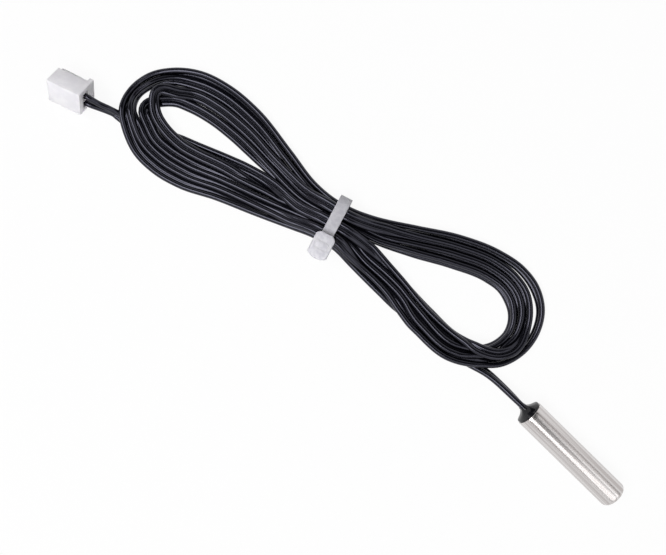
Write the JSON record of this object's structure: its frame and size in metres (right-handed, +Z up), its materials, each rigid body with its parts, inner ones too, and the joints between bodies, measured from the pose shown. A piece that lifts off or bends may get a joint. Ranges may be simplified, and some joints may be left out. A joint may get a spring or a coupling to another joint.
{
  "type": "bead thermistor probe",
  "caption": "Waterproof bead thermistor probe: steel capsule on a black twin lead, folded in a tied hank and ending in a small crimp plug.",
  "frame": {"origin": "on the surface that the probe lies on, under the middle of the capsule and its potting", "axes": "+X along the capsule from its mouth to its closed tip, +Z up from the surface"},
  "size_m": [0.1454, 0.0451, 0.0083],
  "materials": {
    "capsule_steel": "polished, with fine streaks along its length",
    "black_epoxy": "glossy",
    "bead_glass": "glossy",
    "bare_wire": "drawn",
    "sleeve_film": "amber film",
    "solder": "satin",
    "copper_strands": "stranded copper",
    "black_pvc": "satin",
    "tie_nylon": "natural, moulded",
    "terminal_tin": "tinned",
    "plug_nylon": "natural white, moulded"
  },
  "bodies": {
    "root": {"capsule": "capsule_steel", "potting": "black_epoxy", "thermistor_bead": "bead_glass", "bead_leg_1": "bare_wire", "bead_leg_2": "bare_wire", "leg_sleeve_1": "sleeve_film", "leg_sleeve_2": "sleeve_film", "solder_joint_1": "solder", "solder_joint_2": "solder", "probe_conductor_1": "copper_strands", "probe_conductor_2": "copper_strands", "lead_to_probe": "black_pvc", "lead_hank": "black_pvc", "lead_plug_core_1": "black_pvc", "lead_plug_core_2": "black_pvc", "cable_tie": "tie_nylon", "plug_conductor_1": "copper_strands", "plug_conductor_2": "copper_strands", "plug_terminal_1": "terminal_tin", "plug_terminal_2": "terminal_tin", "plug_housing": "plug_nylon"}
  },
  "joints": []
}
